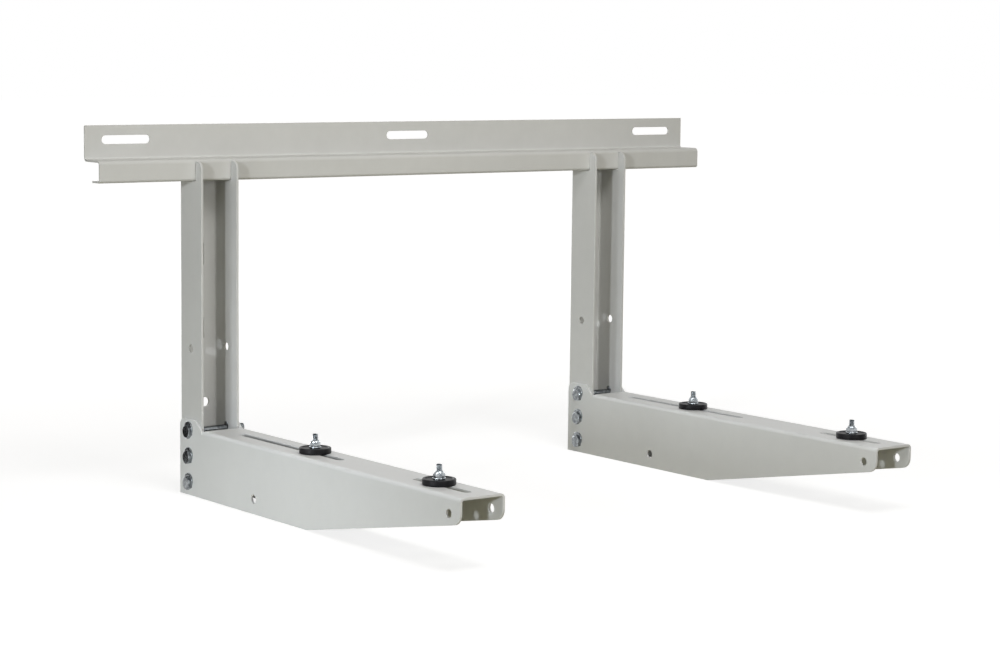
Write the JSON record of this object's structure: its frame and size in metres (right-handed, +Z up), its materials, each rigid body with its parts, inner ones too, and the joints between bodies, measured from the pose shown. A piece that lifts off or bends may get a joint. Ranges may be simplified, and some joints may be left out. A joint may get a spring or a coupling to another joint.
{
  "type": "air conditioner outdoor unit bracket",
  "caption": "Folded steel wall bracket: a wall rail, hooked uprights and tapered arms with rubber mounts in slots, for carrying an outdoor unit.",
  "frame": {"origin": "on the wall, at the middle of the rail, on the line of its three wall slots", "axes": "+X along the rail to the right as seen from the room, +Y into the wall, +Z up; the arms point to -Y"},
  "size_m": [0.8, 0.515, 0.3903],
  "materials": {
    "coated_steel": "light grey powder coat, satin, faint orange peel",
    "zinc_plated_steel": "bright zinc plate",
    "black_rubber": "moulded, semi-gloss"
  },
  "bodies": {
    "rail": {"rail": "coated_steel"},
    "left_bracket": {"left_upright": "coated_steel", "left_arm": "coated_steel", "left_bottom_head_washer": "zinc_plated_steel", "left_bottom_bolt": "zinc_plated_steel", "left_bottom_nut_washer": "zinc_plated_steel", "left_bottom_nut": "zinc_plated_steel", "left_middle_head_washer": "zinc_plated_steel", "left_middle_bolt": "zinc_plated_steel", "left_middle_nut_washer": "zinc_plated_steel", "left_middle_nut": "zinc_plated_steel", "left_top_head_washer": "zinc_plated_steel", "left_top_bolt": "zinc_plated_steel", "left_top_nut_washer": "zinc_plated_steel", "left_top_nut": "zinc_plated_steel"},
    "left_rear_mount": {"left_rear_slot_washer": "zinc_plated_steel", "left_rear_pad_bolt": "zinc_plated_steel", "left_rear_pad": "black_rubber", "left_rear_pad_washer": "zinc_plated_steel", "left_rear_pad_nut": "zinc_plated_steel"},
    "left_front_mount": {"left_front_slot_washer": "zinc_plated_steel", "left_front_pad_bolt": "zinc_plated_steel", "left_front_pad": "black_rubber", "left_front_pad_washer": "zinc_plated_steel", "left_front_pad_nut": "zinc_plated_steel"},
    "right_bracket": {"right_upright": "coated_steel", "right_arm": "coated_steel", "right_bottom_head_washer": "zinc_plated_steel", "right_bottom_bolt": "zinc_plated_steel", "right_bottom_nut_washer": "zinc_plated_steel", "right_bottom_nut": "zinc_plated_steel", "right_middle_head_washer": "zinc_plated_steel", "right_middle_bolt": "zinc_plated_steel", "right_middle_nut_washer": "zinc_plated_steel", "right_middle_nut": "zinc_plated_steel", "right_top_head_washer": "zinc_plated_steel", "right_top_bolt": "zinc_plated_steel", "right_top_nut_washer": "zinc_plated_steel", "right_top_nut": "zinc_plated_steel"},
    "right_rear_mount": {"right_rear_slot_washer": "zinc_plated_steel", "right_rear_pad_bolt": "zinc_plated_steel", "right_rear_pad": "black_rubber", "right_rear_pad_washer": "zinc_plated_steel", "right_rear_pad_nut": "zinc_plated_steel"},
    "right_front_mount": {"right_front_slot_washer": "zinc_plated_steel", "right_front_pad_bolt": "zinc_plated_steel", "right_front_pad": "black_rubber", "right_front_pad_washer": "zinc_plated_steel", "right_front_pad_nut": "zinc_plated_steel"}
  },
  "joints": [
    {"name": "left_bracket_slide", "type": "slide", "parent": "rail", "child": "left_bracket", "axis": [1, 0, 0], "range_m": [-0.111, 0.2215]},
    {"name": "right_bracket_slide", "type": "slide", "parent": "rail", "child": "right_bracket", "axis": [1, 0, 0], "range_m": [-0.2115, 0.121]},
    {"name": "left_rear_mount_slide", "type": "slide", "parent": "left_bracket", "child": "left_rear_mount", "axis": [0, -1, 0], "range_m": [-0.14375, 0.04675]},
    {"name": "left_front_mount_slide", "type": "slide", "parent": "left_bracket", "child": "left_front_mount", "axis": [0, -1, 0], "range_m": [-0.03575, 0.04525]},
    {"name": "right_rear_mount_slide", "type": "slide", "parent": "right_bracket", "child": "right_rear_mount", "axis": [0, -1, 0], "range_m": [-0.11175, 0.07875]},
    {"name": "right_front_mount_slide", "type": "slide", "parent": "right_bracket", "child": "right_front_mount", "axis": [0, -1, 0], "range_m": [-0.04275, 0.03825]}
  ]
}
